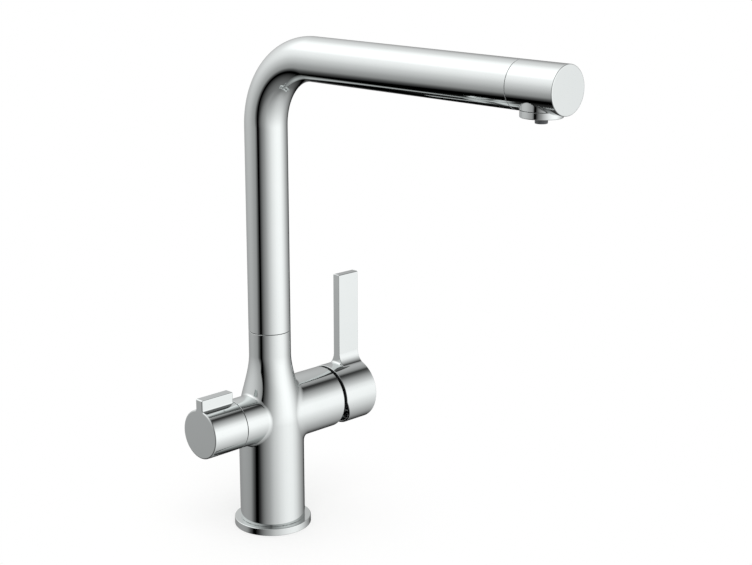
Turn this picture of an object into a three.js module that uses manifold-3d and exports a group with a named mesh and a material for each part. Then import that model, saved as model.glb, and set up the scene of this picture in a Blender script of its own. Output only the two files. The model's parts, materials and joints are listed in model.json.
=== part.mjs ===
// A three way kitchen sink tap. A cast body stands on the deck and carries a swivelling spout,
// a mixer lever for hot and cold water on one side and a knob for filtered water on the other.
// Filtered water runs in a tube of its own from the knob's valve to a nozzle inside the aerator.
// Millimetres. The origin is the centre of the underside of the base ring, +Z is up,
// the spout points to -Y, the mixer lever to +X and the filtered water knob to -X.

import * as THREE from "three";
import { mergeVertices, toCreasedNormals } from "three/addons/utils/BufferGeometryUtils.js";
import Module from "manifold-3d";

const wasm = await Module();
wasm.setup();

// ---------- Driving dimensions ----------

// Clearances
const stackGap = 0.15; // between faces that are clamped or rest on each other
const fitGap = 0.15; // round a piece that is pushed or screwed into its hole
const runGap = 0.3; // round a piece that turns or slides

// Cutting and joining shapes run this far past the face where they would otherwise just touch.
const overshoot = 1;

// Base ring, between the body and the deck
const baseRadius = 26;
const baseHeight = 4.8;
const baseEdge = 0.5; // chamfer of its top edge
const baseOpening = 15.5; // radius of the hole for the hoses and the fixing stud
const baseSpigotHeight = 3; // upstand that centres the body
const deckSealRadius = 20.6; // middle of the rubber ring under the base
const deckSealWidth = 3;
const deckSealDepth = 1.8;

// Cast body
const bodyRadius = 21.95;
const footWall = 3.35;
const footDepth = 17.1;
const seamHeight = 137.15; // middle of the joint line between body and spout
const seamWidth = 0.7;
const neckLength = 15.8; // straight neck below the joint line
const flareLength = 45; // below the neck the column widens from the spout's radius to its own
const flareSteps = 10;
const neckWall = 2.5;
const neckBoreDepth = 35.8;
const armHeight = 78.5; // axis of both side arms

// Hose ports and stud hole in the ceiling of the foot
const portRadius = 4.8;
const portDepth = 14;
const hotColdPortPlace = 6; // towards the mixer
const hotColdPortSpread = 8.5; // to either side of the middle
const filterPortPlace = 5; // towards the filter valve
const studHoleRadius = 3.3;
const studHoleDepth = 18;
const studHolePlace = 13.2;

// Waterways inside the casting
const waterwayRadius = 3;
const filterWaterwayRadius = 2.2;
const cartridgeInletDrop = 5; // the inlets enter the cartridge this far below its axis
const cartridgeOutletRise = 9.5;
const mixedRiserPlace = 7;
const riserFeedPlace = 15.5;
const riserFeedDrop = 4; // below the floor of the neck bore

// Spout
const spoutRadius = 14;
const spoutWall = 1.5;
const spoutHeight = 320.2; // axis of the level run
const spoutBend = 46.3; // radius of the bend's centre line
const spoutBendSteps = 10;
const spoutReach = 245;
const headLength = 32.8;
const headSeam = 0.4;
const headEndWall = 2;
const headStartWall = 1; // carries the spigot
const headSpigotLength = 8;
const headSpigotWall = 2.55;
const headRingSection = 0.65;
const headRingDepth = 1.3;

// Spout tail, the brass spigot that turns in the neck of the body
const tailInTube = 14;
const tailBore = 6.5;
const bushWall = 1.1;
const lowerBushHeight = 6;
const upperBushHeight = 6.3;
const bushFlangeInset = 0.8; // the flange stays this far inside the joint line
const tailRingDepth = 1.6;
const tailRingSection = 1.3;
const tailRingRises = [11, 17]; // above the floor of the neck bore
const stopDrop = 10.8; // the grub screw that limits the swivel, below the body's top face
const stopScrewRadius = 2;
const stopScrewInset = 0.4;
const stopSlotDepth = 1.8;
const swivelLimit = 75; // degrees to either side

// Filtered water tube
const filterTubeRadius = 3.5;
const filterTubeWall = 1.1;
const filterTubeRise = 9; // lower end, above the floor of the neck bore
const riserLength = 27;
const riserWall = 0.9;

// Outlet under the head
const outletInset = 17.8; // from the spout's end back to the outlet's axis
const collarRadius = 12;
const collarDrop = 16.2; // from the spout's axis to the aerator's lower edge
const aeratorBand = 3.9; // visible height of the aerator, up to the joint line
const collarSeam = 0.3;
const collarWall = 1.4;
const aeratorWall = 1.2;
const aeratorThreadHeight = 6;
const aeratorLip = 1;
const aeratorLipHeight = 0.8;
const aeratorInsertHeight = 6.5;
const aeratorRingRise = 2.5; // above the joint line
const aeratorRingSection = 0.4;
const aeratorRingDepth = 0.7;
const nozzleRadius = 3.6;
const nozzleReach = 3.4; // below the aerator
const nozzleWall = 1.4;
const barbLength = 13;

// Mixer: distances are measured from the tap's axis along the arm
const bossRadius = 21.2;
const bossWall = 3.4;
const bossEnd = 48.55;
const mixerSeat = 20;
const gasketThickness = 2;
const gasketInset = 2.4;
const cartridgeLength = 18.7;
const cartridgeFloor = 3.8;
const cartridgeWall = 2.2;
const fixedDiscRadius = 12;
const fixedDiscThickness = 3.6;
const discHoleRadius = 2.4;
const movingDiscRadius = 9.5;
const movingDiscThickness = 3;
const mixingPocketRadius = 6.6;
const mixingPocketDepth = 1.4;
const carrierThickness = 4.8;
const carrierFloor = 0.7;
const pivotPlace = 46; // the lever tilts about this point
const pivotPinRadius = 1.5;
const swivelNeckRadius = 11.8;
const swivelNeckTop = 54;
const stemHeight = 6.4;
const stemWidth = 6.2;
const stemSlot = 18; // up and down room for the stem in the swivel
const stemBarStart = 43;
const stemBallRadius = 1.8;
const stemNeckRadius = 1.3;
const stemEndGap = 1;
const nutEnd = 46.6;
const nutSlotWidth = 3;
const nutSlotDepth = 2.2;
const domeWall = 1.2;
const domeSkirtWall = 1.2;
const domeOpening = 13;

// Mixer lever: a cap with a blade standing on it
const capGap = 2.4;
const capRadius = 21.43;
const capLength = 28;
const capWall = 1.43;
const capEndWall = 2.4;
const leverTilt = 24; // degrees; the cap's edge is cut back by the same angle below its axis
const bladeWidth = 17.9;
const bladeThickness = 5.55;
const bladeTop = 85.2; // above the arm's axis
const bladeCorner = 1;
const bladeFillet = 5;
const leverHubRadius = 7;
const leverScrewRadius = 1.9;
const leverScrewPlace = 71.4;
const plugRadius = 2.4;
const plugLength = 2;

// Filtered water valve and knob, measured in the same way
const filterArmRadius = 16.5;
const filterSeam = 33.84;
const filterSeamWidth = 0.4;
const filterSeat = 9;
const valveRadius = 9.4;
const valveCavityRadius = 7.4;
const valveCavityLength = 9.2;
const valveSealThickness = 1.5;
const valveSealInset = 0.8;
const valveSealHole = 4.2;
const valveDiscThickness = 2.4;
const valveDiscHole = 1.9;
const valveDiscHolePlace = 3.3;
const valveWindowWidth = 5;
const valveHexRadius = 12.4;
const valveHexLength = 6;
const valveNeckRadius = 7.2;
const valveNeckLength = 4.5;
const spindleRadius = 4;
const spindleFlange = 3.4;
const knobLength = 27.3;
const knobWall = 2;
const knobEndWall = 2.4;
const knobHubRadius = 6.8;
const knobScrewPlace = 52;
const knobScrewLength = 2.6;
const finThickness = 6.8;
const finTop = 23.9; // above the arm's axis
const finInset = 1.46; // from the knob's joint line to the fin's inner edge
const finFillet = 1.2;

// Facets round a full turn
const broadSides = 36;
const middleSides = 24;
const smallSides = 12;
const ringSides = 6; // round the section of a sealing ring
const filletSteps = 5;

// ---------- Finishes ----------

const finish = (color, roughness, metalness) => () =>
  new THREE.MeshStandardMaterial({ color, roughness, metalness });
const chrome = finish(0xc8cdcb, 0.06, 1);
const brass = finish(0xb5a06a, 0.35, 1);
const steel = finish(0x9da1a3, 0.3, 1);
const blackPlastic = finish(0x151617, 0.4, 0);
const greyPlastic = finish(0x4a4d50, 0.45, 0);
const whitePlastic = finish(0xe4e4e0, 0.5, 0);
const ceramic = finish(0xeeeae2, 0.25, 0);
const rubber = finish(0x1c1c1c, 0.8, 0);

// ---------- Shape helpers ----------

const quarterTurn = Math.PI / 2;
const radians = THREE.MathUtils.degToRad;

// A geometry as a solid that can be joined and cut.
function solidOf(geometry) {
  const bare = new THREE.BufferGeometry();
  bare.setAttribute("position", geometry.getAttribute("position").clone());
  bare.setIndex(geometry.index);
  const merged = mergeVertices(bare, 1e-4);
  return new wasm.Manifold(
    new wasm.Mesh({
      numProp: 3,
      vertProperties: new Float32Array(merged.attributes.position.array),
      triVerts: new Uint32Array(merged.index.array),
    }),
  );
}

function geometryOf(solid) {
  const mesh = solid.getMesh();
  const geometry = new THREE.BufferGeometry();
  geometry.setAttribute("position", new THREE.BufferAttribute(mesh.vertProperties, 3));
  geometry.setIndex(new THREE.BufferAttribute(mesh.triVerts, 1));
  return geometry;
}

// The base shape with the added shapes joined to it and the removed ones cut away.
function formed(base, added = [], removed = []) {
  let solid = solidOf(base);
  for (const shape of added) solid = solid.add(solidOf(shape));
  for (const shape of removed) solid = solid.subtract(solidOf(shape));
  return geometryOf(solid);
}

// A shape turned about +Z. The outline runs up the outside and down the inside as [radius, height].
function turned(outline, sides = middleSides) {
  const points = outline.map(([radius, height]) => new THREE.Vector2(radius, height));
  return new THREE.LatheGeometry(points, sides).rotateX(quarterTurn);
}

function rod(radius, from, to, sides = smallSides) {
  return turned([[0, from], [radius, from], [radius, to], [0, to]], sides);
}

function sleeve(outer, inner, from, to, sides = middleSides) {
  return turned([[inner, from], [outer, from], [outer, to], [inner, to], [inner, from]], sides);
}

function block(width, depth, from, to) {
  return new THREE.BoxGeometry(width, depth, to - from).translate(0, 0, (from + to) / 2);
}

function sealingRing(radius, section) {
  return new THREE.TorusGeometry(radius, section, ringSides, middleSides);
}

// Turn a shape made along +Z so that it runs along one of the tap's arms.
const towardsMixer = (shape) => shape.rotateY(quarterTurn).translate(0, 0, armHeight);
const towardsFilter = (shape) => shape.rotateY(-quarterTurn).translate(0, 0, armHeight);
const towardsOutlet = (shape) => shape.rotateX(quarterTurn).translate(0, 0, spoutHeight);
const towardsBack = (shape) => shape.rotateX(-quarterTurn);

function piece(name, geometry, material) {
  const mesh = new THREE.Mesh(toCreasedNormals(geometry, radians(30)), material());
  mesh.name = name;
  return mesh;
}

function assembly(...pieces) {
  const group = new THREE.Group();
  group.add(...pieces);
  return group;
}

// ---------- Base ----------

function baseRing() {
  const spigotRadius = bodyRadius - footWall - fitGap;
  const sealInner = deckSealRadius - deckSealWidth / 2;
  const sealOuter = deckSealRadius + deckSealWidth / 2;
  const outline = [
    [baseOpening, 0],
    [sealInner, 0],
    [sealInner, deckSealDepth],
    [sealOuter, deckSealDepth],
    [sealOuter, 0],
    [baseRadius, 0],
    [baseRadius, baseHeight - baseEdge],
    [baseRadius - baseEdge, baseHeight],
    [spigotRadius, baseHeight],
    [spigotRadius, baseHeight + baseSpigotHeight],
    [baseOpening, baseHeight + baseSpigotHeight],
    [baseOpening, 0],
  ];
  return piece("base_ring", turned(outline, broadSides), chrome);
}

function deckSeal() {
  const half = deckSealWidth / 2 - fitGap;
  const shape = sleeve(deckSealRadius + half, deckSealRadius - half, 0, deckSealDepth - stackGap);
  return piece("deck_seal", shape, rubber);
}

// ---------- Body ----------

const bodyBottom = baseHeight + stackGap;
const bodyTop = seamHeight - seamWidth / 2;
const footCeiling = bodyBottom + footDepth;
const neckBore = spoutRadius - neckWall;
const neckFloor = bodyTop - neckBoreDepth;
const bossBore = bossRadius - bossWall;
const filterArmEnd = filterSeam - filterSeamWidth / 2;
const valveBore = valveRadius + fitGap;
const flareTop = bodyTop - neckLength;
const flareBottom = flareTop - flareLength;
const stopHeight = bodyTop - stopDrop;
const riserBase = neckFloor - riserFeedDrop + filterWaterwayRadius / 2;
const riserRadius = filterTubeRadius - filterTubeWall - runGap;

// Radius of the column at a height: straight, then an even S-curve in to the spout's radius.
function columnRadius(height) {
  const narrowing = THREE.MathUtils.smoothstep(height, flareBottom, flareTop);
  return bodyRadius + (spoutRadius - bodyRadius) * narrowing;
}

function column() {
  const outline = [[0, bodyBottom], [bodyRadius, bodyBottom]];
  for (let step = 0; step <= flareSteps; step += 1) {
    const height = flareBottom + (flareLength * step) / flareSteps;
    outline.push([columnRadius(height), height]);
  }
  outline.push([spoutRadius, bodyTop], [0, bodyTop]);
  return turned(outline, broadSides);
}

// Holes in the ceiling of the foot: three threaded hose ports and the blind stud hole.
function footHoles() {
  const portTop = footCeiling + portDepth;
  const port = (x, y) => rod(portRadius, footCeiling - overshoot, portTop).translate(x, y, 0);
  return [
    rod(bodyRadius - footWall, bodyBottom - overshoot, footCeiling, broadSides),
    port(hotColdPortPlace, hotColdPortSpread),
    port(hotColdPortPlace, -hotColdPortSpread),
    port(-filterPortPlace, 0),
    rod(studHoleRadius, footCeiling - overshoot, footCeiling + studHoleDepth).translate(studHolePlace, 0, 0),
  ];
}

// Hot and cold rise from their ports to the cartridge's seat, and mixed water from there to the neck.
function mixerWaterways() {
  const inletHeight = armHeight - cartridgeInletDrop;
  const outletHeight = armHeight + cartridgeOutletRise;
  const portTop = footCeiling + portDepth;
  const cross = (x, y, height) =>
    rod(waterwayRadius, x, mixerSeat + overshoot).rotateY(quarterTurn).translate(0, y, height);
  const rise = (x, y, from, to) => rod(waterwayRadius, from, to).translate(x, y, 0);
  const inlets = [-hotColdPortSpread, hotColdPortSpread].flatMap((y) => [
    rise(hotColdPortPlace, y, portTop - overshoot, inletHeight + waterwayRadius),
    cross(hotColdPortPlace, y, inletHeight),
  ]);
  return [
    ...inlets,
    cross(mixedRiserPlace, 0, outletHeight),
    rise(mixedRiserPlace, 0, outletHeight - waterwayRadius, neckFloor + overshoot),
  ];
}

// Filtered water rises to the end of its valve, leaves at the valve's side and feeds the riser.
function filterWaterways() {
  const radius = filterWaterwayRadius;
  const feedHeight = neckFloor - riserFeedDrop;
  const portTop = footCeiling + portDepth;
  return [
    rod(radius, portTop - overshoot, armHeight + radius).translate(-filterPortPlace, 0, 0),
    towardsFilter(rod(radius, filterPortPlace, filterSeat + overshoot)),
    rod(radius, armHeight + valveRadius - overshoot, feedHeight + radius).translate(-riserFeedPlace, 0, 0),
    rod(radius, 0, riserFeedPlace).rotateY(-quarterTurn).translate(0, 0, feedHeight),
    rod(riserRadius + fitGap, feedHeight, neckFloor + overshoot),
  ];
}

function tapBody() {
  const boss = towardsMixer(rod(bossRadius, 0, bossEnd, broadSides));
  const filterArm = towardsFilter(rod(filterArmRadius, 0, filterArmEnd, broadSides));
  const stopHole = rod(stopScrewRadius + fitGap, neckBore - overshoot, spoutRadius + overshoot);
  const bores = [
    rod(neckBore, neckFloor, bodyTop + overshoot, middleSides),
    towardsMixer(rod(bossBore, mixerSeat, bossEnd + overshoot, broadSides)),
    towardsFilter(rod(valveBore, filterSeat, filterArmEnd + overshoot, middleSides)),
    towardsBack(stopHole).translate(0, 0, stopHeight),
  ];
  const holes = [...footHoles(), ...mixerWaterways(), ...filterWaterways(), ...bores];
  return piece("tap_body", formed(column(), [boss, filterArm], holes), chrome);
}

function filteredWaterRiser() {
  const inner = riserRadius - riserWall;
  const shape = sleeve(riserRadius, inner, riserBase, riserBase + riserLength, smallSides);
  return piece("filtered_water_riser", shape, brass);
}

function spoutStopScrew() {
  const tip = neckBore - bushWall - 2 * fitGap - stopSlotDepth + runGap;
  const shape = rod(stopScrewRadius, tip, spoutRadius - stopScrewInset);
  return piece("spout_stop_screw", towardsBack(shape).translate(0, 0, stopHeight), steel);
}

// ---------- Spout ----------

const tubeBore = spoutRadius - spoutWall;
const tubeBottom = seamHeight + seamWidth / 2;
const tailRadius = neckBore - bushWall - 2 * fitGap;
const bushInner = tailRadius + fitGap;
const bushOuter = neckBore - fitGap;
const headStart = spoutReach - headLength;
const outletPlace = spoutReach - outletInset;
const tailRingHeights = tailRingRises.map((rise) => neckFloor + rise);
const filterTubeBottom = neckFloor + filterTubeRise;

// Centre line of a bent tube: a straight rise, a quarter bend towards -Y and a level run.
// Its stations are counted, not spaced by length, so that the straight runs take one step each.
class BentLine extends THREE.Curve {
  constructor(bottom, reach) {
    super();
    const bend = new THREE.Vector3(0, -spoutBend, spoutHeight - spoutBend);
    this.stations = [new THREE.Vector3(0, 0, bottom)];
    for (let step = 0; step <= spoutBendSteps; step += 1) {
      const angle = (quarterTurn * step) / spoutBendSteps;
      const arm = new THREE.Vector3(0, Math.cos(angle), Math.sin(angle));
      this.stations.push(arm.multiplyScalar(spoutBend).add(bend));
    }
    this.stations.push(new THREE.Vector3(0, -reach, spoutHeight));
  }

  getUtoTmapping(u) {
    return u;
  }

  getPoint(t) {
    const last = this.stations.length - 1;
    const station = Math.min(Math.floor(t * last), last - 1);
    return this.stations[station].clone().lerp(this.stations[station + 1], t * last - station);
  }

  getTangent(t) {
    const last = this.stations.length - 1;
    const angle = (quarterTurn * (t * last - 1)) / spoutBendSteps;
    const held = THREE.MathUtils.clamp(angle, 0, quarterTurn);
    return new THREE.Vector3(0, -Math.sin(held), Math.cos(held));
  }
}

function bentTube(outer, inner, bottom, reach, sides) {
  const section = new THREE.Shape().absarc(0, 0, outer, 0, 2 * Math.PI);
  section.holes.push(new THREE.Path().absarc(0, 0, inner, 0, 2 * Math.PI, true));
  return new THREE.ExtrudeGeometry(section, {
    steps: spoutBendSteps + 2,
    curveSegments: sides / 2,
    extrudePath: new BentLine(bottom, reach),
  });
}

function spoutTube() {
  const shape = bentTube(spoutRadius, tubeBore, tubeBottom, headStart - headSeam / 2, broadSides);
  return piece("spout_tube", shape, chrome);
}

// A slot round the tail that the stop screw's tip runs in.
function stopSlot(floorRadius) {
  const screwAngle = Math.asin((stopScrewRadius + runGap) / floorRadius);
  const half = radians(swivelLimit) + screwAngle;
  const outer = tailRadius + overshoot;
  const section = new THREE.Shape();
  section.absarc(0, 0, outer, quarterTurn - half, quarterTurn + half);
  section.absarc(0, 0, floorRadius, quarterTurn + half, quarterTurn - half, true);
  const height = 2 * (stopScrewRadius + runGap);
  const slot = new THREE.ExtrudeGeometry(section, {
    depth: height,
    curveSegments: middleSides,
    bevelEnabled: false,
  });
  return slot.translate(0, 0, stopHeight - height / 2);
}

function spoutTail() {
  const bottom = neckFloor + runGap;
  const shoulder = tubeBottom + stackGap;
  const top = shoulder + tailInTube;
  const outline = [
    [tailBore, bottom],
    [tailRadius, bottom],
    [tailRadius, shoulder],
    [tubeBore - fitGap, shoulder],
    [tubeBore - fitGap, top],
    [tailBore, top],
    [tailBore, bottom],
  ];
  const half = tailRingSection + fitGap;
  const grooves = tailRingHeights.map((height) =>
    sleeve(tailRadius + overshoot, tailRadius - tailRingDepth, height - half, height + half),
  );
  const cuts = [...grooves, stopSlot(tailRadius - stopSlotDepth)];
  return piece("spout_tail", formed(turned(outline), [], cuts), brass);
}

function tailRings() {
  const radius = tailRadius - tailRingDepth + tailRingSection + fitGap / 2;
  const names = ["lower_spout_ring", "upper_spout_ring"];
  return tailRingHeights.map((height, index) => {
    const shape = sealingRing(radius, tailRingSection).translate(0, 0, height);
    return piece(names[index], shape, rubber);
  });
}

function lowerBush() {
  const bottom = neckFloor + stackGap;
  const shape = sleeve(bushOuter, bushInner, bottom, bottom + lowerBushHeight);
  return piece("lower_spout_bush", shape, whitePlastic);
}

function upperBush() {
  const flangeRadius = spoutRadius - bushFlangeInset;
  const flangeTop = tubeBottom - stackGap;
  const outline = [
    [bushInner, bodyTop - upperBushHeight],
    [bushOuter, bodyTop - upperBushHeight],
    [bushOuter, bodyTop + stackGap],
    [flangeRadius, bodyTop + stackGap],
    [flangeRadius, flangeTop],
    [bushInner, flangeTop],
    [bushInner, bodyTop - upperBushHeight],
  ];
  return piece("upper_spout_bush", turned(outline), blackPlastic);
}

// ---------- Outlet ----------

const collarBottom = spoutHeight - collarDrop;
const collarSeamHeight = collarBottom + aeratorBand;
const aeratorRingHeight = collarSeamHeight + aeratorRingRise;
const nozzleBottom = collarBottom - nozzleReach;
const spigotRadius = tubeBore - fitGap;
const spigotBore = spigotRadius - headSpigotWall;
const collarBore = collarRadius - collarWall;
const headRingPlace = headStart - headSpigotLength / 2;

function outletHead() {
  const start = headStart + headSeam / 2;
  const cavityStart = start + headStartWall;
  const spigotStart = headStart - headSpigotLength;
  const shell = turned(
    [
      [0, start],
      [spoutRadius, start],
      [spoutRadius, spoutReach],
      [0, spoutReach],
    ],
    broadSides,
  );
  const spigot = rod(spigotRadius, spigotStart, cavityStart, broadSides);
  const collar = rod(collarRadius, collarSeamHeight, spoutHeight, broadSides);
  const cavity = rod(tubeBore, cavityStart, spoutReach - headEndWall, broadSides);
  const holeEnd = cavityStart + overshoot;
  const spigotHole = rod(spigotBore, spigotStart - overshoot, holeEnd, middleSides);
  const half = headRingSection + fitGap;
  const groove = sleeve(
    spigotRadius + overshoot,
    spigotRadius - headRingDepth,
    headRingPlace - half,
    headRingPlace + half,
  );
  const collarHole = rod(collarBore, collarBottom - overshoot, spoutHeight, middleSides);
  // The aerator's visible ring sits in a round recess of the head's underside.
  const recessTop = collarSeamHeight + collarSeam / 2;
  const recess = rod(collarRadius + fitGap, collarBottom - overshoot, recessTop, broadSides);
  const added = [towardsOutlet(spigot), collar.translate(0, -outletPlace, 0)];
  const cuts = [
    towardsOutlet(cavity),
    towardsOutlet(spigotHole),
    towardsOutlet(groove),
    collarHole.translate(0, -outletPlace, 0),
    recess.translate(0, -outletPlace, 0),
  ];
  return piece("outlet_head", formed(towardsOutlet(shell), added, cuts), chrome);
}

function headRing() {
  const radius = spigotRadius - headRingDepth + headRingSection + fitGap / 2;
  const shape = sealingRing(radius, headRingSection).translate(0, 0, headRingPlace);
  return piece("outlet_head_ring", towardsOutlet(shape), rubber);
}

const aeratorRadius = collarBore - runGap;
const aeratorBore = aeratorRadius - aeratorWall;
const aeratorTop = collarSeamHeight + aeratorThreadHeight;

function aeratorHousing() {
  const ringHalf = aeratorRingSection + fitGap;
  const lipRadius = aeratorBore - aeratorLip;
  const outline = [
    [lipRadius, collarBottom],
    [collarRadius, collarBottom],
    [collarRadius, collarSeamHeight - collarSeam / 2],
    [aeratorRadius, collarSeamHeight - collarSeam / 2],
    [aeratorRadius, aeratorRingHeight - ringHalf],
    [aeratorRadius - aeratorRingDepth, aeratorRingHeight - ringHalf],
    [aeratorRadius - aeratorRingDepth, aeratorRingHeight + ringHalf],
    [aeratorRadius, aeratorRingHeight + ringHalf],
    [aeratorRadius, aeratorTop],
    [aeratorBore, aeratorTop],
    [aeratorBore, collarBottom + aeratorLipHeight],
    [lipRadius, collarBottom + aeratorLipHeight],
    [lipRadius, collarBottom],
  ];
  return piece("aerator_housing", turned(outline, broadSides), chrome);
}

function aeratorRing() {
  const radius = aeratorRadius - aeratorRingDepth + aeratorRingSection + fitGap / 2;
  const shape = sealingRing(radius, aeratorRingSection).translate(0, 0, aeratorRingHeight);
  return piece("aerator_ring", shape, rubber);
}

function aeratorInsert() {
  const bottom = collarBottom + aeratorLipHeight + stackGap;
  const outer = aeratorBore - fitGap;
  const shape = sleeve(outer, nozzleRadius + fitGap, bottom, bottom + aeratorInsertHeight);
  return piece("aerator_insert", shape, greyPlastic);
}

// The nozzle is an elbow: it hangs in the middle of the aerator, and its barb holds the tube.
function filteredNozzle() {
  const barbRadius = filterTubeRadius - filterTubeWall - fitGap;
  const bore = barbRadius - riserWall;
  const level = (radius, to) =>
    towardsBack(rod(radius, 0, to)).translate(0, 0, spoutHeight);
  const body = rod(nozzleRadius, nozzleBottom, spoutHeight + nozzleRadius);
  const hole = rod(nozzleRadius - nozzleWall, nozzleBottom - overshoot, spoutHeight + bore);
  const shape = formed(body, [level(barbRadius, barbLength)], [hole, level(bore, barbLength + overshoot)]);
  return piece("filtered_water_nozzle", shape, greyPlastic);
}

function filteredWaterTube() {
  const reach = outletPlace - nozzleRadius - runGap;
  const inner = filterTubeRadius - filterTubeWall;
  const shape = bentTube(filterTubeRadius, inner, filterTubeBottom, reach, smallSides);
  return piece("filtered_water_tube", shape, whitePlastic);
}

// ---------- Mixer cartridge, built along +Z with the tap's axis at zero and +X downwards ----------

const gasketFrom = mixerSeat + stackGap;
const cartridgeFrom = gasketFrom + gasketThickness + stackGap;
const cartridgeTo = cartridgeFrom + cartridgeLength;
const cartridgeRadius = bossBore - fitGap;
const cartridgeBore = cartridgeRadius - cartridgeWall;
const fixedDiscFrom = cartridgeFrom + cartridgeFloor + stackGap;
const fixedDiscTo = fixedDiscFrom + fixedDiscThickness;
const movingDiscFrom = fixedDiscTo + stackGap;
const movingDiscTo = movingDiscFrom + movingDiscThickness;
const carrierFrom = movingDiscTo + stackGap;
const carrierTo = carrierFrom + carrierThickness;
const nutFrom = cartridgeTo + stackGap;
const domeRadius = capRadius - capWall - 0.5;
const capStart = bossEnd + capGap;
const capEnd = capStart + capLength;

// Hot, cold and mixed water pass through three holes in line with the casting's waterways.
function portHoles(radius, from, to) {
  return [
    rod(radius, from, to).translate(cartridgeInletDrop, hotColdPortSpread, 0),
    rod(radius, from, to).translate(cartridgeInletDrop, -hotColdPortSpread, 0),
    rod(radius, from, to).translate(-cartridgeOutletRise, 0, 0),
  ];
}

function cartridgeGasket() {
  const gasketTo = gasketFrom + gasketThickness;
  const disc = rod(bossBore - gasketInset, gasketFrom, gasketTo, middleSides);
  const holes = portHoles(waterwayRadius, gasketFrom - overshoot, gasketTo + overshoot);
  return piece("cartridge_gasket", formed(disc, [], holes), rubber);
}

function cartridgeHousing() {
  const outline = [
    [0, cartridgeFrom],
    [cartridgeRadius, cartridgeFrom],
    [cartridgeRadius, cartridgeTo],
    [cartridgeBore, cartridgeTo],
    [cartridgeBore, fixedDiscTo],
    [fixedDiscRadius + fitGap, fixedDiscTo],
    [fixedDiscRadius + fitGap, cartridgeFrom + cartridgeFloor],
    [0, cartridgeFrom + cartridgeFloor],
  ];
  const floorTop = cartridgeFrom + cartridgeFloor;
  const holes = portHoles(discHoleRadius, cartridgeFrom - overshoot, floorTop + overshoot);
  return piece("cartridge_housing", formed(turned(outline, broadSides), [], holes), whitePlastic);
}

function fixedDisc() {
  const disc = rod(fixedDiscRadius, fixedDiscFrom, fixedDiscTo, middleSides);
  // The holes lie nearer the middle than the housing's, where the moving disc can cover them.
  const hole = (x, y) =>
    rod(discHoleRadius, fixedDiscFrom - overshoot, fixedDiscTo + overshoot).translate(x, y, 0);
  const place = fixedDiscRadius / 2;
  const holes = [hole(place / 2, place), hole(place / 2, -place), hole(-place, 0)];
  return piece("fixed_ceramic_disc", formed(disc, [], holes), ceramic);
}

function movingDisc() {
  const disc = rod(movingDiscRadius, movingDiscFrom, movingDiscTo, middleSides);
  const pocket = rod(mixingPocketRadius, movingDiscFrom - overshoot, movingDiscFrom + mixingPocketDepth);
  return piece("moving_ceramic_disc", formed(disc, [], [pocket]), ceramic);
}

function discCarrier() {
  const disc = rod(movingDiscRadius, carrierFrom, carrierTo, middleSides);
  const pocket = rod(stemBallRadius + runGap + 0.1, carrierFrom + carrierFloor, carrierTo + overshoot);
  return piece("disc_carrier", formed(disc, [], [pocket]), greyPlastic);
}

function pinAcross(radius, length) {
  return towardsBack(rod(radius, -length / 2, length / 2)).translate(0, 0, pivotPlace);
}

const pinLength = 2 * Math.sqrt(swivelNeckRadius ** 2 - pivotPinRadius ** 2) - 2 * runGap;

function cartridgeSwivel() {
  const shoulder = nutFrom - runGap;
  const outline = [
    [0, carrierTo + runGap],
    [cartridgeBore - runGap, carrierTo + runGap],
    [cartridgeBore - runGap, shoulder],
    [swivelNeckRadius, shoulder],
    [swivelNeckRadius, swivelNeckTop],
    [0, swivelNeckTop],
  ];
  const slot = block(stemSlot, stemWidth + 2 * runGap, carrierTo - overshoot, swivelNeckTop + overshoot);
  const pinHole = pinAcross(pivotPinRadius + fitGap, 2 * (swivelNeckRadius + overshoot));
  return piece("cartridge_swivel", formed(turned(outline), [], [slot, pinHole]), greyPlastic);
}

function pivotPin() {
  return piece("lever_pivot_pin", pinAcross(pivotPinRadius, pinLength), steel);
}

// The stem is a flat bar on the pin. Its ball end pushes the disc carrier.
function mixerStem() {
  const ballPlace = carrierFrom + carrierFloor + stemBallRadius + stackGap;
  const bar = block(stemHeight, stemWidth, stemBarStart, capEnd - capEndWall - stemEndGap);
  const neck = rod(stemNeckRadius, ballPlace, stemBarStart + overshoot);
  const ball = new THREE.SphereGeometry(stemBallRadius, smallSides, 10);
  ball.translate(0, 0, ballPlace);
  const pinHole = pinAcross(pivotPinRadius + fitGap, stemWidth + 2 * overshoot);
  return piece("mixer_stem", formed(bar, [neck, ball], [pinHole]), steel);
}

function cartridgeNut() {
  const inner = swivelNeckRadius + runGap;
  const ring = sleeve(bossBore - fitGap, inner, nutFrom, nutEnd, broadSides);
  const slots = [0, quarterTurn].map((angle) =>
    block(2 * bossBore, nutSlotWidth, nutEnd - nutSlotDepth, nutEnd + overshoot).rotateZ(angle),
  );
  return piece("cartridge_nut", formed(ring, [], slots), brass);
}

// The black cover is a dome round the lever's pivot, so that the cap tilts over it evenly.
function cartridgeCover() {
  const seat = bossEnd + stackGap;
  const skirtOuter = bossBore - fitGap;
  const skirtInner = skirtOuter - domeSkirtWall;
  const innerRadius = domeRadius - domeWall;
  const arc = (radius, from, to) =>
    Array.from({ length: filletSteps + 1 }, (_, step) => {
      const angle = from + ((to - from) * step) / filletSteps;
      return [radius * Math.cos(angle), pivotPlace + radius * Math.sin(angle)];
    });
  const outline = [
    [skirtInner, nutEnd + stackGap],
    [skirtOuter, nutEnd + stackGap],
    [skirtOuter, seat],
    ...arc(domeRadius, Math.asin((seat - pivotPlace) / domeRadius), Math.acos(domeOpening / domeRadius)),
    ...arc(innerRadius, Math.acos(domeOpening / innerRadius), Math.acos(skirtInner / innerRadius)),
    [skirtInner, nutEnd + stackGap],
  ];
  return piece("cartridge_cover", turned(outline, broadSides), blackPlastic);
}

// ---------- Blades standing on a round cap ----------

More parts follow.
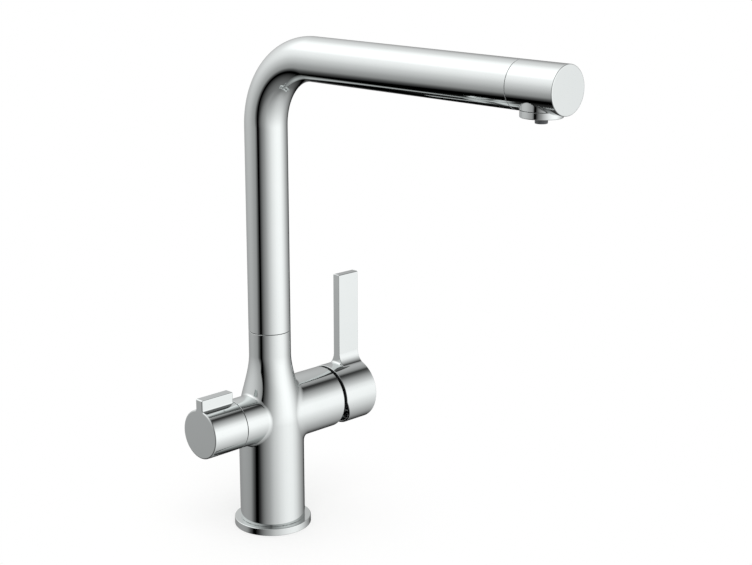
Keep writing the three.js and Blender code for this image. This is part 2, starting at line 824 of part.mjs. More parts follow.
// Outline of a blade across the cap's axis: it stands up along +X, and arcs at its root run into
// the cap. The bottom of the outline is hidden inside the cap's wall.
function bladeOutline(thickness, top, corner, radius, fillet) {
  const half = thickness / 2;
  const centreSide = half + fillet;
  const centreUp = Math.sqrt((radius + fillet) ** 2 - centreSide ** 2);
  const meeting = Math.atan2(centreSide, centreUp);
  const rootSide = (radius - 0.02) * Math.sin(meeting);
  const rootUp = (radius - 0.02) * Math.cos(meeting);
  const depth = 0.6;
  const section = new THREE.Shape();
  section.moveTo(rootUp - depth, -rootSide);
  section.lineTo(rootUp, -rootSide);
  section.absarc(centreUp, -centreSide, fillet, Math.PI - meeting, quarterTurn, true);
  section.lineTo(top - corner, -half);
  section.absarc(top - corner, -half + corner, corner, -quarterTurn, 0);
  section.absarc(top - corner, half - corner, corner, 0, quarterTurn);
  section.absarc(centreUp, centreSide, fillet, -quarterTurn, -Math.PI + meeting, true);
  section.lineTo(rootUp - depth, rootSide);
  section.closePath();
  return section;
}

function blade(section, from, to) {
  const shape = new THREE.ExtrudeGeometry(section, {
    depth: to - from,
    curveSegments: filletSteps,
    bevelEnabled: false,
  });
  return shape.translate(0, 0, from);
}

// ---------- Mixer lever ----------

function mixerLever() {
  const innerRadius = capRadius - capWall;
  const hubFrom = pivotPlace + domeRadius + runGap;
  const innerEnd = capEnd - capEndWall;
  const section = bladeOutline(bladeThickness, bladeTop, bladeCorner, capRadius, bladeFillet);
  const bladeShape = blade(section, capEnd - bladeWidth, capEnd).rotateZ(Math.PI);
  const hollow = sleeve(innerRadius, leverHubRadius, hubFrom, innerEnd, broadSides);
  const mouth = rod(innerRadius, capStart - overshoot, hubFrom, broadSides);
  // Everything below the cut, from the axis outwards, so the cap clears the boss when it tilts.
  const cut = block(2 * capRadius, 3 * capRadius, -2 * capRadius, 0);
  cut.translate(capRadius, 0, 0).rotateY(-radians(leverTilt)).translate(0, 0, capStart);
  const socket = block(
    stemHeight + 2 * fitGap,
    stemWidth + 2 * fitGap,
    hubFrom - overshoot,
    innerEnd - stemEndGap + stackGap,
  );
  const screwHole = rod(leverScrewRadius + fitGap, 0, leverHubRadius + overshoot);
  const plugHole = rod(plugRadius + fitGap, leverHubRadius + overshoot, capRadius + overshoot);
  const across = (shape) => shape.rotateY(quarterTurn).translate(0, 0, leverScrewPlace);
  const cuts = [mouth, hollow, cut, socket, across(screwHole), across(plugHole)];
  const cap = rod(capRadius, capStart, capEnd, broadSides);
  return piece("mixer_lever", formed(cap, [bladeShape], cuts), chrome);
}

function leverScrew() {
  const from = stemHeight / 2 + fitGap;
  const shape = rod(leverScrewRadius, from, leverHubRadius - stackGap);
  shape.rotateY(quarterTurn).translate(0, 0, leverScrewPlace);
  return piece("lever_screw", shape, steel);
}

function leverPlug() {
  const surface = Math.sqrt(capRadius ** 2 - plugRadius ** 2) - stackGap;
  const shape = rod(plugRadius, surface - plugLength, surface);
  shape.rotateY(quarterTurn).translate(0, 0, leverScrewPlace);
  return piece("lever_plug", shape, greyPlastic);
}

// ---------- Filtered water valve and knob, along +Z with +X upwards ----------

const sealFrom = filterSeat + stackGap;
const valveFrom = sealFrom + valveSealThickness + stackGap;
const valveDiscRadius = valveCavityRadius - 0.2;
const lowerDiscFrom = valveFrom + stackGap;
const upperDiscFrom = lowerDiscFrom + valveDiscThickness + stackGap;
const flangeFrom = upperDiscFrom + valveDiscThickness + stackGap;
const hexFrom = filterArmEnd + stackGap;
const valveEnd = hexFrom + valveHexLength + valveNeckLength;
const knobStart = filterSeam + filterSeamWidth / 2;
const knobEnd = filterSeam + knobLength;
const knobInnerEnd = knobEnd - knobEndWall;

function valveSeal() {
  const shape = sleeve(
    valveRadius - valveSealInset,
    valveSealHole,
    sealFrom,
    sealFrom + valveSealThickness,
  );
  return piece("filter_valve_seal", shape, rubber);
}

function valveBody() {
  const barrel = rod(valveRadius, valveFrom, hexFrom + overshoot, middleSides);
  const hexagon = rod(valveHexRadius, hexFrom, hexFrom + valveHexLength, 6);
  const neck = rod(valveNeckRadius, hexFrom + overshoot, valveEnd, middleSides);
  const cavity = rod(valveCavityRadius, valveFrom - overshoot, valveFrom + valveCavityLength, middleSides);
  const bore = rod(spindleRadius + runGap, valveFrom, valveEnd + overshoot, middleSides);
  const windowFrom = upperDiscFrom;
  const windows = block(4 * valveRadius, valveWindowWidth, windowFrom, windowFrom + valveWindowWidth);
  const shape = formed(barrel, [hexagon, neck], [cavity, bore, windows]);
  return piece("filter_valve_body", shape, brass);
}

function valveDisc(name, from, holeAngle) {
  const disc = rod(valveDiscRadius, from, from + valveDiscThickness, middleSides);
  const hole = rod(valveDiscHole, from - overshoot, from + valveDiscThickness + overshoot);
  hole.translate(valveDiscHolePlace, 0, 0).rotateZ(holeAngle);
  return piece(name, formed(disc, [], [hole]), ceramic);
}

function filterSpindle() {
  const end = knobInnerEnd - stackGap;
  const outline = [
    [0, flangeFrom],
    [valveDiscRadius, flangeFrom],
    [valveDiscRadius, flangeFrom + spindleFlange],
    [spindleRadius, flangeFrom + spindleFlange],
    [spindleRadius, end],
    [0, end],
  ];
  return piece("filter_spindle", turned(outline), brass);
}

function filterKnob() {
  const innerRadius = filterArmRadius - knobWall;
  const hubFrom = valveEnd + runGap;
  const section = bladeOutline(finThickness, finTop, 0.3, filterArmRadius, finFillet);
  const fin = blade(section, filterSeam + finInset + filterSeamWidth / 2, knobEnd);
  const knob = rod(filterArmRadius, knobStart, knobEnd, broadSides);
  const mouth = rod(innerRadius, knobStart - overshoot, hubFrom, broadSides);
  const hollow = sleeve(innerRadius, knobHubRadius, hubFrom, knobInnerEnd, broadSides);
  const socket = rod(spindleRadius + fitGap, hubFrom - overshoot, knobInnerEnd, middleSides);
  const screwHole = rod(leverScrewRadius + fitGap, 0, filterArmRadius + overshoot);
  screwHole.rotateY(-quarterTurn).translate(0, 0, knobScrewPlace);
  const shape = formed(knob, [fin], [mouth, hollow, socket, screwHole]);
  return piece("filter_knob", shape, chrome);
}

function knobScrew() {
  const from = spindleRadius + fitGap;
  const shape = rod(leverScrewRadius, from, from + knobScrewLength);
  shape.rotateY(-quarterTurn).translate(0, 0, knobScrewPlace);
  return piece("knob_screw", shape, steel);
}

// ---------- The tap ----------

const fixedPieces = assembly(
  baseRing(),
  deckSeal(),
  tapBody(),
  filteredWaterRiser(),
  spoutStopScrew(),
  lowerBush(),
  upperBush(),
);

const aerator = assembly(aeratorHousing(), aeratorRing(), aeratorInsert(), filteredNozzle());
aerator.position.y = -outletPlace;

const spout = assembly(
  spoutTube(),
  spoutTail(),
  ...tailRings(),
  outletHead(),
  headRing(),
  filteredWaterTube(),
  aerator,
);

const mixer = assembly(
  cartridgeGasket(),
  cartridgeHousing(),
  fixedDisc(),
  movingDisc(),
  discCarrier(),
  cartridgeSwivel(),
  pivotPin(),
  cartridgeNut(),
  cartridgeCover(),
  mixerStem(),
  mixerLever(),
  leverScrew(),
  leverPlug(),
);
mixer.position.z = armHeight;
mixer.rotation.y = quarterTurn;

const filterControl = assembly(
  valveSeal(),
  valveBody(),
  valveDisc("filter_fixed_disc", lowerDiscFrom, 0),
  valveDisc("filter_moving_disc", upperDiscFrom, Math.PI),
  filterSpindle(),
  filterKnob(),
  knobScrew(),
);
filterControl.position.z = armHeight;
filterControl.rotation.y = -quarterTurn;

const tap = assembly(fixedPieces, spout, mixer, filterControl);

export default tap;
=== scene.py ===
import json
import math

import bpy
import numpy as np
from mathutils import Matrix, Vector


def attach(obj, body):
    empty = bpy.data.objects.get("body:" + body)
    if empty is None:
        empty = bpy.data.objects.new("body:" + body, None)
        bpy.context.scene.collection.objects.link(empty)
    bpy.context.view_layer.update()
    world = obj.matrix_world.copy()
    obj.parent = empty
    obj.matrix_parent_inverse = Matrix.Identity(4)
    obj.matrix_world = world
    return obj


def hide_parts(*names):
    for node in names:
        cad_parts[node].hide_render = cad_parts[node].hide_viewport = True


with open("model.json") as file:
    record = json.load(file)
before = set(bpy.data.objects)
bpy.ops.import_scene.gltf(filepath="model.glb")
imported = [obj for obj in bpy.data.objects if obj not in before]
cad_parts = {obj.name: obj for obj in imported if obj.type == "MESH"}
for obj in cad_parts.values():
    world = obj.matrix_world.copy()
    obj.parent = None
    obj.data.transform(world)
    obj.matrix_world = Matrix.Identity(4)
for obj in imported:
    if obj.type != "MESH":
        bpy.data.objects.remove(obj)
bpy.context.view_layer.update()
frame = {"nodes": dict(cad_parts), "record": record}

scene = bpy.context.scene
scene.view_settings.view_transform = "Standard"

# The camera stands where the photograph was taken from, to the left of the tap and a little above it.
shot = {
    "target": (0.0503, -0.0499, 0.1694),  # m
    "azimuth": -44.75,  # degrees; 0 looks along +Y
    "elevation": 14.77,
    "distance": 1.0314,  # m
    "lens": 74.76,  # mm
    "sensorWidth": 36,  # mm
}


def placeCamera():
    turn, lift = math.radians(shot["azimuth"]), math.radians(shot["elevation"])
    away = Vector((math.sin(turn) * math.cos(lift), -math.cos(turn) * math.cos(lift), math.sin(lift)))
    camera = bpy.data.objects.new("shotCamera", bpy.data.cameras.new("shotCamera"))
    scene.collection.objects.link(camera)
    camera.location = Vector(shot["target"]) + away * shot["distance"]
    camera.rotation_euler = (-away).to_track_quat("-Z", "Y").to_euler()
    camera.data.lens = shot["lens"]
    camera.data.sensor_width = shot["sensorWidth"]
    scene.camera = camera


placeCamera()
print("camera placed")


# Hex colours are as seen on a screen, and the renderer wants them linear.
def linear(hexColour):
    parts = [int(hexColour[i:i + 2], 16) / 255 for i in (1, 3, 5)]
    return [c / 12.92 if c <= 0.04045 else ((c + 0.055) / 1.055) ** 2.4 for c in parts] + [1]


# An input is a value, a socket, or a node whose first output is taken.
def addNode(tree, kind, settings={}, inputs={}):
    made = tree.nodes.new("ShaderNode" + kind)
    for name, value in settings.items():
        if name == "stops":  # of a colour ramp, as (place, level)
            ramp = made.color_ramp.elements
            while len(ramp) < len(value):
                ramp.new(0.5)
            for stop, (place, level) in zip(ramp, value):
                stop.position, stop.color = place, (level, level, level, 1)
        else:
            setattr(made, name, value)
    for name, value in inputs.items():
        if isinstance(value, bpy.types.Node):
            value = value.outputs[0]
        if isinstance(value, bpy.types.NodeSocket):
            tree.links.new(value, made.inputs[name])
        else:
            made.inputs[name].default_value = value
    return made


# Studio. Polished metal shows its surroundings, so they are laid out as directions around the tap:
# a soft light in front, a sky of light that falls off from behind and above, and darkness between.
# The lists hold (place, level), and the level changes evenly from one place to the next.
studio = {
    "plainLevel": 0.9,  # what matt surfaces get from all round
    "mirrorLevel": 1.66,  # on all the levels below
    # Front light by azimuth in degrees, counted from -X round by -Y
    "frontAcross": [(6, 0), (22, 0.12), (40, 0.23), (63, 0.51), (80, 0.73), (95, 0.88), (111, 0.95),
                    (127, 0.92), (145, 0.77), (160, 0.57), (175, 0.39), (191, 0.22), (210, 0)],
    # and by elevation in degrees
    "frontUp": [(-90, 0), (-75, 0.26), (-60, 0.43), (-40, 0.59), (-14, 0.84), (8, 0.95), (20, 0.87),
                (30, 0.63), (40, 0.37), (47, 0.08), (52, 0)],
    # Its left end slants: the light is no more than this, by azimuth less a share of the elevation.
    "frontLeft": [(14, 0), (34, 0.2), (44, 1)],
    "frontSlant": 0.5,
    "skyTowards": (-0.16, 0.62, 0.77),  # direction of the sky's middle
    "skyLevel": 1.5,  # on the shares below
    # Share by the cosine of the angle from that middle. Below the horizon it is light from the ground.
    "sky": [(-1, 0.11), (-0.7, 0.15), (-0.45, 0.09), (-0.2, 0.02), (-0.12, 0), (-0.04, 0), (0.05, 0.06),
            (0.15, 0.19), (0.3, 0.25), (0.6, 0.43), (0.88, 0.68), (1, 1)],
    "horizon": -0.08,
    # and by X, as the sky falls off to the right
    "skyAcross": [(-1, 1), (0, 0.72), (0.6, 0.68), (1, 0.17)],
    # In front it thins out, in one way on the left and in another on the right, with a soft change
    # from left to right between these values of X.
    "skySides": (0.1, 0.4),
    # Share by Y on the left, down to an edge where Y + leftSlope * Z falls through leftEdge
    "skyLeft": [(-0.9, 0), (-0.6, 0.45), (-0.3, 0.8), (-0.05, 1)],
    "leftSlope": 1.5,
    "leftEdge": (-0.03, 0.04),
    # Share on the right by the distance behind an edge, which for each X lies so far before Y = 0
    "skyRight": [(0, 0), (0.04, 0.25), (0.08, 0.5), (0.12, 0.75), (0.2, 0.88), (0.3, 1)],
    "rightEdge": [(0.5, 0.32), (0.59, 0.26), (0.62, 0.18), (0.68, 0.13), (1, 0.13)],
    "lampPlace": (-0.9, -1.1, 1.9),  # m
    "lampTarget": (0, 0, 0.1),
    "lampSize": 1.6,
    "lampPower": 16,  # W
}


def lightStudio():
    world = bpy.data.worlds.new("studio")
    scene.world = world
    world.use_nodes = True
    tree = world.node_tree
    tree.nodes.clear()

    # What one of the studio's lists says for a value that runs from low to high
    def levelAt(name, value, low, high):
        scaled = addNode(tree, "MapRange", {}, {"Value": value, "From Min": low, "From Max": high})
        stops = [((place - low) / (high - low), level) for place, level in studio[name]]
        return addNode(tree, "ValToRGB", {"stops": stops}, {"Fac": scaled})

    ray = addNode(tree, "TexCoord").outputs["Generated"]
    x, y, z = addNode(tree, "SeparateXYZ", {}, {"Vector": ray}).outputs
    azimuth = addNode(tree, "Math", {"operation": "ARCTAN2"}, {0: y, 1: x})
    azimuth = addNode(tree, "Math", {"operation": "DEGREES"}, {0: azimuth})
    azimuth = addNode(tree, "Math", {"operation": "ADD"}, {0: azimuth, 1: 180.0})
    elevation = addNode(tree, "Math", {"operation": "ARCSINE"}, {0: z})
    elevation = addNode(tree, "Math", {"operation": "DEGREES"}, {0: elevation})
    slanted = addNode(tree, "Math", {"operation": "MULTIPLY_ADD"},
                      {0: elevation, 1: -studio["frontSlant"], 2: azimuth})
    front = addNode(tree, "Math", {"operation": "MINIMUM"},
                    {0: levelAt("frontAcross", azimuth, 0, 360), 1: levelAt("frontLeft", slanted, 0, 50)})
    front = addNode(tree, "Math", {"operation": "MULTIPLY"},
                    {0: front, 1: levelAt("frontUp", elevation, -90, 90)})

    towards = addNode(tree, "VectorMath", {"operation": "DOT_PRODUCT"},
                      {0: ray, 1: studio["skyTowards"]}).outputs["Value"]
    sky = addNode(tree, "Math", {"operation": "MULTIPLY"},
                  {0: levelAt("skyAcross", x, -1, 1), 1: studio["skyLevel"]})
    sky = addNode(tree, "Math", {"operation": "MULTIPLY"}, {0: levelAt("sky", towards, -1, 1), 1: sky})

    lift = addNode(tree, "Math", {"operation": "MAXIMUM"}, {0: z, 1: 0.0})
    behind = addNode(tree, "Math", {"operation": "MULTIPLY_ADD"}, {0: lift, 1: studio["leftSlope"], 2: y})
    left = addNode(tree, "MapRange", {"interpolation_type": "SMOOTHSTEP"},
                   {"Value": behind, "From Min": studio["leftEdge"][0], "From Max": studio["leftEdge"][1]})
    left = addNode(tree, "Math", {"operation": "MULTIPLY"}, {0: levelAt("skyLeft", y, -1, 1), 1: left})
    behind = addNode(tree, "Math", {"operation": "ADD"}, {0: y, 1: levelAt("rightEdge", x, 0.5, 1)})
    right = levelAt("skyRight", behind, 0, 1)
    side = addNode(tree, "MapRange", {"interpolation_type": "SMOOTHSTEP"},
                   {"Value": x, "From Min": studio["skySides"][0], "From Max": studio["skySides"][1]})
    shown = addNode(tree, "Mix", {}, {"Factor": side, "A": left, "B": right})
    ground = addNode(tree, "Math", {"operation": "LESS_THAN"}, {0: towards, 1: studio["horizon"]})
    shown = addNode(tree, "Math", {"operation": "MAXIMUM"}, {0: shown, 1: ground})
    sky = addNode(tree, "Math", {"operation": "MULTIPLY"}, {0: sky, 1: shown})

    mirrored = addNode(tree, "Math", {"operation": "ADD"}, {0: front, 1: sky})
    mirrored = addNode(tree, "Math", {"operation": "MULTIPLY"}, {0: mirrored, 1: studio["mirrorLevel"]})
    kind = addNode(tree, "LightPath").outputs
    shiny = addNode(tree, "Math", {"operation": "MAXIMUM"},
                    {0: kind["Is Glossy Ray"], 1: kind["Is Transmission Ray"]})
    level = addNode(tree, "Mix", {}, {"Factor": shiny, "A": studio["plainLevel"], "B": mirrored})
    level = addNode(tree, "Mix", {}, {"Factor": kind["Is Camera Ray"], "A": level, "B": 1.0})
    light = addNode(tree, "Background", {}, {"Color": (1, 1, 1, 1), "Strength": level})
    addNode(tree, "OutputWorld", {}, {"Surface": light})

    lamp = bpy.data.lights.new("softKey", "AREA")
    lamp.shape, lamp.size, lamp.energy = "DISK", studio["lampSize"], studio["lampPower"]
    key = bpy.data.objects.new("softKey", lamp)
    key.location = studio["lampPlace"]
    aim = Vector(studio["lampTarget"]) - key.location
    key.rotation_euler = aim.to_track_quat("-Z", "Y").to_euler()
    key.visible_glossy = False  # the mirrors have their own front light
    scene.collection.objects.link(key)


lightStudio()
print("studio lit")


# Floor: white far from the tap, where the soft shadow has ended.
floor = {"radius": 9.0, "sides": 96, "level": -0.0002, "colour": "#FAFAF9",
         "shadowFrom": 0.03, "shadowTo": 0.16, "shadowShare": 0.45}  # m


def layFloor():
    mesh = bpy.data.meshes.new("floor")
    angles = np.linspace(0, 2 * math.pi, floor["sides"], endpoint=False)
    ring = [(floor["radius"] * math.cos(a), floor["radius"] * math.sin(a), floor["level"]) for a in angles]
    mesh.from_pydata(ring, [], [list(range(floor["sides"]))])
    obj = bpy.data.objects.new("floor", mesh)
    scene.collection.objects.link(obj)
    material = bpy.data.materials.new("paintedFloor")
    material.use_nodes = True
    tree = material.node_tree
    tree.nodes.clear()
    place = addNode(tree, "NewGeometry").outputs["Position"]
    length = addNode(tree, "VectorMath", {"operation": "LENGTH"}, {0: place}).outputs["Value"]
    far = addNode(tree, "MapRange", {"interpolation_type": "SMOOTHSTEP"},
                  {"Value": length, "From Min": floor["shadowFrom"], "From Max": floor["shadowTo"],
                   "To Min": 1 - floor["shadowShare"], "To Max": 1.0})
    matt = addNode(tree, "BsdfDiffuse", {}, {"Color": linear(floor["colour"])})
    white = addNode(tree, "Emission", {}, {"Color": (1, 1, 1, 1), "Strength": 1.0})
    seen = addNode(tree, "LightPath").outputs["Is Camera Ray"]
    share = addNode(tree, "Math", {"operation": "MULTIPLY"}, {0: far, 1: seen})
    mixed = addNode(tree, "MixShader", {}, {0: share, 1: matt, 2: white})
    addNode(tree, "OutputMaterial", {}, {"Surface": mixed})
    mesh.materials.append(material)
    obj.visible_glossy = False  # the chrome shows the studio below the horizon too


layFloor()
print("floor laid")


# Materials. Each starts from the real stuff and the way its surface was made. Grain is the size of a
# patch in mm and bump its depth in mm. Real tool marks and moulded grain are a tenth of that size,
# too fine for the render, so they are drawn as coarse as it can show.
finishes = {
    # Chrome plated on polished brass: a cool mirror that gives back three fifths of the light, with
    # a breath of haze in wide patches from the buffing. What is mirrored twice is clearly darker.
    "polishedChromePlate": {
        "slot": "polished_chrome_plate", "colour": "#CACDCD", "shade": "#C7CBCA", "metallic": 1.0,
        "roughness": (0.03, 0.055), "grain": 14.0, "bump": 0.0,
    },
    # Turned brass: warm yellow with fine tool marks.
    "machinedBrass": {
        "slot": "machined_brass", "colour": "#C9AE6A", "shade": "#B3934F", "metallic": 1.0,
        "roughness": (0.22, 0.38), "grain": 0.8, "bump": 0.03,
    },
    # Turned stainless steel: grey with a soft sheen.
    "machinedStainless": {
        "slot": "stainless_steel", "colour": "#A9ABAC", "shade": "#8F9294", "metallic": 1.0,
        "roughness": (0.2, 0.34), "grain": 0.7, "bump": 0.02,
    },
    # Moulded acetal: close to black, waxy, with a fine moulded grain.
    "mouldedBlackAcetal": {
        "slot": "black_acetal", "colour": "#1B1C1D", "shade": "#141516", "metallic": 0.0,
        "roughness": (0.28, 0.42), "grain": 0.9, "bump": 0.012, "ior": 1.48,
    },
    # The same in dark grey.
    "mouldedGreyAcetal": {
        "slot": "grey_acetal", "colour": "#4A4D50", "shade": "#3F4245", "metallic": 0.0,
        "roughness": (0.3, 0.45), "grain": 0.9, "bump": 0.012, "ior": 1.48,
    },
    # Natural polypropylene: milky white with a satin surface.
    "mouldedPolypropylene": {
        "slot": "white_polymer", "colour": "#E6E5DF", "shade": "#DAD8D0", "metallic": 0.0,
        "roughness": (0.35, 0.5), "grain": 1.2, "bump": 0.01, "ior": 1.49,
    },
    # Lapped alumina: cream white and flat, with a dull polish.
    "lappedAlumina": {
        "slot": "lapped_ceramic", "colour": "#E9E3D6", "shade": "#DFD8C9", "metallic": 0.0,
        "roughness": (0.12, 0.22), "grain": 1.5, "bump": 0.003, "ior": 1.76,
    },
    # Moulded nitrile rubber: matt black with a slight bloom.
    "mouldedNitrile": {
        "slot": "black_rubber", "colour": "#1A1A1A", "shade": "#262626", "metallic": 0.0,
        "roughness": (0.6, 0.8), "grain": 1.4, "bump": 0.02, "ior": 1.52,
    },
}


noise = {"detail": 3.0, "low": 0.3, "high": 0.7}  # it hardly ever leaves the span from low to high


def makeFinish(name, finish):
    material = bpy.data.materials.new(name)
    material.use_nodes = True
    tree = material.node_tree
    tree.nodes.clear()
    place = addNode(tree, "TexCoord").outputs["Object"]
    perMetre = 1000 / finish["grain"]
    patches = addNode(tree, "TexNoise", {}, {"Vector": place, "Scale": perMetre, "Detail": noise["detail"]})
    patches = patches.outputs["Fac"]
    low, high = finish["roughness"]
    rough = addNode(tree, "MapRange", {}, {"Value": patches, "From Min": noise["low"],
                                           "From Max": noise["high"], "To Min": low, "To Max": high})
    colour, shade = linear(finish["colour"]), linear(finish["shade"])
    # 6 and 7 are the mix's colour inputs, and 2 is its colour output.
    tint = addNode(tree, "Mix", {"data_type": "RGBA"}, {"Factor": patches, 6: colour, 7: shade}).outputs[2]
    inputs = {"Base Color": tint, "Roughness": rough, "Metallic": finish["metallic"]}
    if "ior" in finish:
        inputs["IOR"] = finish["ior"]
    if finish["bump"]:
        depth = finish["bump"] / 1000
        inputs["Normal"] = addNode(tree, "Bump", {}, {"Height": patches, "Distance": depth, "Strength": 1.0})
    shader = addNode(tree, "BsdfPrincipled", {}, inputs)
    addNode(tree, "OutputMaterial", {}, {"Surface": shader})
    return material


materials = {finish["slot"]: makeFinish(name, finish) for name, finish in finishes.items()}
for part in frame["record"]["subparts"]:
    nodeMesh = frame["nodes"][part["node"]].data
    nodeMesh.materials.clear()
    nodeMesh.materials.append(materials[part["material_slot"]])
print("materials made:", len(materials))


# Making pieces. Shapes are worked out in millimetres, and the normals with them, so that the
# polished faces reflect cleanly.
making = {
    "millimetre": 0.001,
    "sides": 144,  # of a turned piece
    "rounding": 0.15,
    "roundingStep": 15,  # degrees
    "straight": 0.02,  # radians; a corner that turns by less is a point on a straight run
    "slopeReach": 0.01,
    "filletDepth": 2,  # no fillet reaches deeper below the faces that it joins
    "sameFace": 0.99,  # cosine between two faces that run on as one, with no fillet
    "settlings": 4,  # how often a skin's points are moved on to the surface
    "settlingReach": 0.5,  # and how far at most
}


def addPiece(name, shape, slot, body, *nodes):
    points, faces, normals = shape
    mesh = bpy.data.meshes.new(name)
    mesh.from_pydata((np.asarray(points) * making["millimetre"]).tolist(), [], faces)
    mesh.polygons.foreach_set("use_smooth", [True] * len(mesh.polygons))
    mesh.normals_split_custom_set_from_vertices(np.asarray(normals).tolist())
    mesh.materials.append(materials[slot])
    obj = bpy.data.objects.new(name, mesh)
    scene.collection.objects.link(obj)
    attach(obj, body)
    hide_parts(*nodes)
    print(name, len(faces), "faces")


# The outline of a turned piece with its corners rounded. It runs up the outside and down the
# inside as (radius, height) or (radius, height, rounding), and stays open where it ends on the axis.
def softened(outline, rounding):
    onAxis = outline[0][0] == 0 and outline[-1][0] == 0
    points = [np.array(corner[:2], float) for corner in outline]
    spots, normals = [], []
    for i, corner in enumerate(outline):
        here, before, after = points[i], points[i - 1], points[(i + 1) % len(points)]
        if onAxis and i in (0, len(points) - 1):
            along = after - here if i == 0 else here - before
            spots.append(here)
            normals.append(np.array([0, -np.sign(along[0])]))
            continue
        back, ahead = before - here, after - here
        lengths = np.linalg.norm(back), np.linalg.norm(ahead)
        back, ahead = back / lengths[0], ahead / lengths[1]
        turn = math.pi - math.acos(np.clip(back @ ahead, -1, 1))
        if turn < making["straight"]:
            spots.append(here)
            normals.append(np.array([ahead[1], -ahead[0]]))
            continue
        radius = corner[2] if len(corner) > 2 else rounding
        reach = min(radius * math.tan(turn / 2), 0.49 * min(lengths))  # just short of the next one's
        radius = reach / math.tan(turn / 2)
        outwards = 1 if back[1] * ahead[0] - back[0] * ahead[1] > 0 else -1
        startNormal = np.array([-back[1], back[0]])
        startAngle = math.atan2(startNormal[1], startNormal[0])
        steps = max(1, math.ceil(turn / math.radians(making["roundingStep"])))
        centre = here + back * reach - outwards * radius * startNormal
        for step in range(steps + 1):
            angle = startAngle + outwards * turn * step / steps
            normal = np.array([math.cos(angle), math.sin(angle)])
            spots.append(centre + outwards * radius * normal)
            normals.append(normal)
    return np.array(spots), np.array(normals), onAxis


def turned(outline, sides=making["sides"], rounding=making["rounding"]):
    spots, normals, onAxis = softened(outline, rounding)
    angles = np.arange(sides) * 2 * math.pi / sides
    cosine, sine = np.cos(angles), np.sin(angles)
    points, directions, rows = [], [], []
    for (radius, height), (outward, upward) in zip(spots, normals):
        first = len(points)
        if radius < 1e-6:  # one point on the axis
            points.append((0, 0, height))
            directions.append((0, 0, upward))
            rows.append([first] * sides)
        else:
            points += list(zip(radius * cosine, radius * sine, [height] * sides))
            directions += list(zip(outward * cosine, outward * sine, [upward] * sides))
            rows.append(list(range(first, first + sides)))
    faces = []
    for low, high in zip(rows, rows[1:] if onAxis else rows[1:] + rows[:1]):
        for j in range(sides):
            k = (j + 1) % sides
            corners = [low[j], low[k], high[k], high[j]]
            face = [corner for n, corner in enumerate(corners) if corner != corners[n - 1]]
            if len(face) > 2:
                faces.append(face)
    return np.array(points), faces, np.array(directions)


# Moves a shape made along +Z so that it runs along +X or +Z from a starting point.
def pointed(shape, direction, start):
    points, faces, normals = shape
    along = np.array(direction, float)
    across = np.array([0, 1.0, 0]) if along[0] else np.array([1.0, 0, 0])
    axes = np.array([across, np.cross(along, across), along])
    return points @ axes + np.array(start), faces, normals @ axes


# Grid lines from low to high, with more of them, close together, around the places in fine
def gridLines(low, high, step, fine=(), reach=0.7, count=10):
    lines = np.arange(low, high + step, step)
    for level in fine:
        lines = np.concatenate([lines[abs(lines - level) > reach],
                                level + np.linspace(-reach, reach, count)])
    return np.sort(lines)


def slopeOf(field, x, y, z):
    h = making["slopeReach"]
    return [(field(x + a, y + b, z + c) - field(x - a, y - b, z - c)) / (2 * h)
            for a, b, c in ((h, 0, 0), (0, h, 0), (0, 0, h))]


# The first form is cut back to where the second is below zero too, and the edge between them is
# rounded by a radius.
def trimmed(first, second, edge):
    a, b = first + edge, second + edge
    return np.minimum(np.maximum(a, b), 0) + np.hypot(np.maximum(a, 0), np.maximum(b, 0)) - edge


# Two forms joined with a fillet, as a ball of that radius would leave it.
def filleted(first, second, radius, x, y, z):
    a, b = first(x, y, z), second(x, y, z)
    joined = np.minimum(a, b)
    near = (np.maximum(a, b) < radius) & (joined > -making["filletDepth"])
    spot = x[near], y[near], z[near]
    ball = radius[near] if isinstance(radius, np.ndarray) else radius
    one, two = np.array(slopeOf(first, *spot)), np.array(slopeOf(second, *spot))
    cosine = (one * two).sum(0) / (np.linalg.norm(one, axis=0) * np.linalg.norm(two, axis=0) + 1e-9)
    across = np.maximum(1 - cosine ** 2, 1e-4)
    p, q = ball - a[near], ball - b[near]
    within = (p > cosine * q) & (q > cosine * p) & (cosine < making["sameFace"])
    rounded = ball - np.sqrt(np.maximum(p * p + q * q - 2 * p * q * cosine, 0) / across)
    joined[near] = np.where(within, rounded, joined[near])
    return joined


